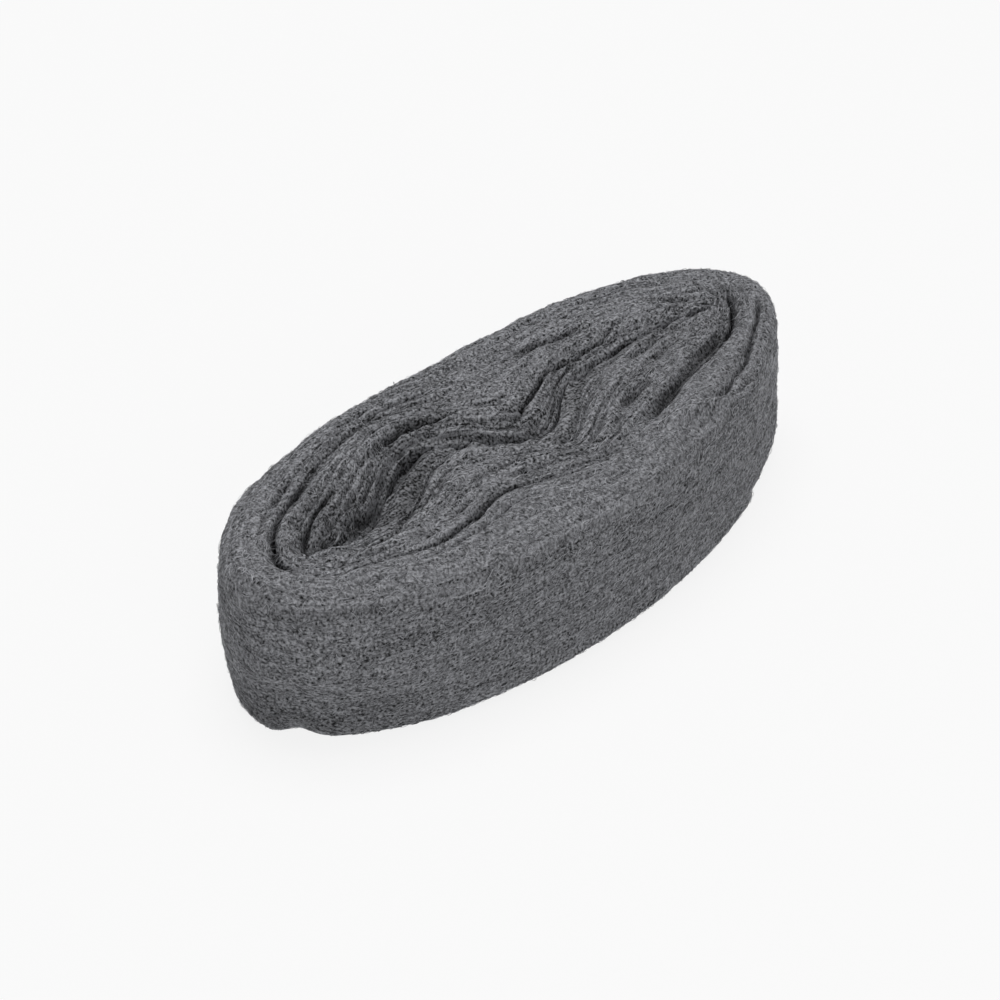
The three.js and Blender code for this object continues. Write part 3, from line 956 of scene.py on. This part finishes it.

# %% [markdown]
# ## The finish
# Bare steel wool is a dark, matt grey, because light is lost between its fibres, and single fibres glint.
# The ribbon's tone is a sum of three noises: a grain that is the same on every side, and threads and
# streaks that run along the winding. The grain and the threads stand up as bump. The real fibres are
# brighter metal, each with a shade of its own. Grooves, the slit and the low wall under the bulge at the
# left foot get painted shade, which darkens the colour of the wool and of its fibres.

# %% Shader arithmetic
class Wire:
    """A node's output. Arithmetic on wires adds Math nodes, and add() makes any other node."""

    def __init__(self, tree, socket=None):
        self.tree = tree
        self.socket = socket

    def add(self, kind, settings, inputs, output=0):
        node = self.tree.nodes.new(kind)
        for name, value in settings.items():
            if name == "stops":
                for stop, (place, colour) in zip(node.color_ramp.elements, value):
                    stop.position = place
                    stop.color = colour
            else:
                setattr(node, name, value)
        for name, value in inputs.items():
            if isinstance(value, Wire):
                self.tree.links.new(value.socket, node.inputs[name])
            else:
                node.inputs[name].default_value = value
        return Wire(self.tree, node.outputs[output])

    def math(self, operation, first, second):
        return self.add("ShaderNodeMath", {"operation": operation}, {0: first, 1: second})

    def __add__(self, other):
        return self.math("ADD", self, other)

    def __radd__(self, other):
        return self.math("ADD", other, self)

    def __sub__(self, other):
        return self.math("SUBTRACT", self, other)

    def __rsub__(self, other):
        return self.math("SUBTRACT", other, self)

    def __mul__(self, other):
        return self.math("MULTIPLY", self, other)

    def __rmul__(self, other):
        return self.math("MULTIPLY", other, self)


STEEL_TINT = np.array([0.994, 1.0, 1.025])
WHITE = (1, 1, 1, 1)


def grey(level):
    """A linear colour from an sRGB grey level, a little bluish as bare steel is."""
    channels = level * STEEL_TINT / 255
    linear = np.where(channels <= 0.04045, channels / 12.92, ((channels + 0.055) / 1.055) ** 2.4)
    return (*linear.tolist(), 1.0)


def stored(tree, name):
    """A value that is stored in the mesh."""
    return Wire(tree).add("ShaderNodeAttribute", {"attribute_name": name}, {}, "Fac")


def between_greys(share, greys):
    stops = [(0.0, grey(greys[0])), (1.0, grey(greys[1]))]
    return share.add("ShaderNodeValToRGB", {"stops": stops}, {"Fac": share})


def new_material(name):
    material = bpy.data.materials.new(name)
    material.use_nodes = True
    tree = material.node_tree
    return material, tree, tree.nodes["Principled BSDF"]


# %% The ribbon's finish
CLOUD_ROUGHNESS = 0.55
# Sizes of the noises in millimetres, and the layer that each is cut from.
GRAIN_SIZES, GRAIN_LAYER = (0.62, 0.62, 0.62), 9.0
THREAD_SIZES, THREAD_LAYER = (11.0, 0.5, 1.0), 17.4
STREAK_SIZES, STREAK_LAYER = (30.0, 1.1, 1.0), 31.2
# What each adds to the tone. The grain is stronger where shade is painted.
MIDDLE = 0.5
GRAIN_TONE, PAINTED_SHADE_GRAIN_TONE, THREAD_TONE, STREAK_TONE = 2.3, 1.6, 0.9, 0.6
WOOL_GREYS = (25, 160)
THREAD_BUMP, BUMP_STRENGTH, BUMP_HEIGHT = 0.7, 0.5, 0.4
WOOL_ROUGHNESS, WOOL_POLISH, WOOL_METALLIC, WOOL_SPECULAR = 0.85, 0.25, 0.3, 0.15
# Painted shade: how much of a near-black colour is mixed in, and that colour.
PAINTED_SHADE_SHARE, PAINTED_SHADE_COLOUR = 0.8, (0.004, 0.004, 0.004, 1)


def cloud(place, sizes_mm, layer):
    """Noise with cells of a size along each axis of the place."""
    scale = tuple(1 / (size * MM) for size in sizes_mm)
    placed = place.add("ShaderNodeMapping", {}, {"Vector": place, "Location": (0, 0, layer), "Scale": scale})
    inputs = {"Vector": placed, "Scale": 1.0, "Detail": 1.0, "Roughness": CLOUD_ROUGHNESS}
    return place.add("ShaderNodeTexNoise", {}, inputs)


def set_finish(tree, shader, colour, roughness, metallic, specular):
    """Set a steel shader. The colour is darkened towards near black where shade is painted."""
    mix = {0: stored(tree, "lost") * PAINTED_SHADE_SHARE, 6: colour, 7: PAINTED_SHADE_COLOUR}
    dimmed = colour.add("ShaderNodeMix", {"data_type": "RGBA", "blend_type": "MIX"}, mix, 2)
    tree.links.new(dimmed.socket, shader.inputs["Base Color"])
    tree.links.new(roughness.socket, shader.inputs["Roughness"])
    shader.inputs["Metallic"].default_value = metallic
    shader.inputs["Specular IOR Level"].default_value = specular


def wool_finish():
    material, tree, shader = new_material("steel_wool_mat")
    lay = Wire(tree).add("ShaderNodeUVMap", {"uv_map": "lay"}, {})
    place = Wire(tree).add("ShaderNodeTexCoord", {}, {}, "Object")
    grain = cloud(place, GRAIN_SIZES, GRAIN_LAYER)
    thread = cloud(lay, THREAD_SIZES, THREAD_LAYER)
    streak = cloud(lay, STREAK_SIZES, STREAK_LAYER)
    grain_tone = GRAIN_TONE + stored(tree, "lost") * PAINTED_SHADE_GRAIN_TONE
    tone = (grain - MIDDLE) * stored(tree, "grainy") * grain_tone
    tone = tone + (thread - MIDDLE) * stored(tree, "streaky") * THREAD_TONE
    tone = tone + (streak - MIDDLE) * STREAK_TONE + MIDDLE
    height = grain + thread * THREAD_BUMP
    relief_inputs = {"Height": height, "Strength": BUMP_STRENGTH, "Distance": BUMP_HEIGHT * MM}
    bump = tone.add("ShaderNodeBump", {}, relief_inputs)
    tree.links.new(bump.socket, shader.inputs["Normal"])
    roughness = WOOL_ROUGHNESS - grain * WOOL_POLISH
    set_finish(tree, shader, between_greys(tone, WOOL_GREYS), roughness, WOOL_METALLIC, WOOL_SPECULAR)
    return material


# %% The fibres' finish
FIBRE_GREYS = (62, 190)
FIBRE_ROUGHNESS, FIBRE_POLISH, FIBRE_METALLIC, FIBRE_SPECULAR = 0.6, 0.2, 0.5, 0.3


def fibre_finish():
    material, tree, shader = new_material("steel_fibre")
    shade = stored(tree, "shade")
    roughness = FIBRE_ROUGHNESS - shade * FIBRE_POLISH
    set_finish(tree, shader, between_greys(shade, FIBRE_GREYS), roughness, FIBRE_METALLIC, FIBRE_SPECULAR)
    return material


wool_material = wool_finish()
wool.data.materials.append(wool_material)
core.data.materials.append(wool_material)
fibre_material = fibre_finish()
for piece in fibre_pieces:
    piece.data.materials.append(fibre_material)
print("finished", 2 + len(fibre_pieces), "pieces")

# %% [markdown]
# ## The studio
# The photo shows the pad from the front left and above, in soft light on plain white. The floor is
# lit as the pad is, so it keeps the pad's shadow, and the camera sees part of it as plain white.

# %% Floor and world
def background_rays(tree):
    """1 for what the camera sees, by itself or in metal and glass, and 0 for what lights the pad."""
    kinds = ("Is Camera Ray", "Is Glossy Ray", "Is Transmission Ray")
    direct, mirrored, through = (Wire(tree).add("ShaderNodeLightPath", {}, {}, kind) for kind in kinds)
    return direct.math("MAXIMUM", direct.math("MAXIMUM", direct, mirrored), through)


FLOOR_SIZE = 6.0
FLOOR_WHITE_SHARE = 0.85
PAPER_COLOUR, PAPER_ROUGHNESS = (0.8, 0.8, 0.8, 1), 0.9
deselect_all()
bpy.ops.mesh.primitive_plane_add(size=FLOOR_SIZE, location=(0, 0, 0))
floor = bpy.context.object
floor.name = "floor"
paper, tree, shader = new_material("white_paper")
shader.inputs["Base Color"].default_value = PAPER_COLOUR
shader.inputs["Roughness"].default_value = PAPER_ROUGHNESS
seen = background_rays(tree)
white = seen.add("ShaderNodeEmission", {}, {"Color": WHITE, "Strength": 1.0})
lit = Wire(tree, shader.outputs[0])
mixed = seen.add("ShaderNodeMixShader", {}, {0: seen * FLOOR_WHITE_SHARE, 1: lit, 2: white})
tree.links.new(mixed.socket, tree.nodes["Material Output"].inputs["Surface"])
floor.data.materials.append(paper)

AMBIENT = 0.28
world = bpy.data.worlds.new("studio")
bpy.context.scene.world = world
world.use_nodes = True
tree = world.node_tree
strength = background_rays(tree) * (1 - AMBIENT) + AMBIENT
tree.links.new(strength.socket, tree.nodes["Background"].inputs["Strength"])
tree.nodes["Background"].inputs["Color"].default_value = WHITE
print("the floor is", FLOOR_SIZE, "m wide")

# %% Soft lamps
LAMP_SIZE = 0.7
# Name, place in metres, and watts.
LAMPS = [("overhead", (0.1, 0.15, 1.2), 8.0), ("front", (-0.5, -1.0, 0.5), 3.4)]
pad_middle = Vector((0, 0, RIBBON_WIDTH / 2 * MM))
for name, place, watts in LAMPS:
    lamp = bpy.data.lights.new(name, "AREA")
    lamp.shape = "SQUARE"
    lamp.size = LAMP_SIZE
    lamp.energy = watts
    holder = bpy.data.objects.new(name, lamp)
    bpy.context.scene.collection.objects.link(holder)
    holder.location = place
    holder.rotation_euler = (pad_middle - Vector(place)).to_track_quat("-Z", "Y").to_euler()
print("hung", len(LAMPS), "lamps")

# %% Camera
# The angles, the distance and the lens are fitted to the outline of the pad in the photo.
VIEW_AZIMUTH, VIEW_ELEVATION = np.radians(-45.0), np.radians(37.0)
VIEW_DISTANCE = 0.6213
FOCAL_PIXELS, PHOTO_PIXELS = 2800, 1000
AIM_PIXEL = (520.1, 482.0)
SENSOR_WIDTH = 36.0

camera_data = bpy.data.cameras.new("photo_camera")
camera = bpy.data.objects.new("photo_camera", camera_data)
bpy.context.scene.collection.objects.link(camera)
bpy.context.scene.camera = camera
camera_data.sensor_width = SENSOR_WIDTH
camera_data.lens = SENSOR_WIDTH * FOCAL_PIXELS / PHOTO_PIXELS
camera_data.shift_x = 0.5 - AIM_PIXEL[0] / PHOTO_PIXELS
camera_data.shift_y = AIM_PIXEL[1] / PHOTO_PIXELS - 0.5
aim = Vector((-PLAN_MIDDLE[0] * MM, -PLAN_MIDDLE[1] * MM, RIBBON_WIDTH / 2 * MM))
level = np.cos(VIEW_ELEVATION)
back = Vector((np.sin(VIEW_AZIMUTH) * level, -np.cos(VIEW_AZIMUTH) * level, np.sin(VIEW_ELEVATION)))
camera.location = aim + back * VIEW_DISTANCE
camera.rotation_euler = (-back).to_track_quat("-Z", "Y").to_euler()
bpy.context.scene.view_settings.view_transform = "Standard"
print("the lens is", round(camera_data.lens, 1), "mm long")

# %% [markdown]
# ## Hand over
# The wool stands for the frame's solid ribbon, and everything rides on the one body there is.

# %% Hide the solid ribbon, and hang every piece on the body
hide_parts("wound_ribbon")
for piece in [wool, core, *fibre_pieces]:
    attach(piece, "root")
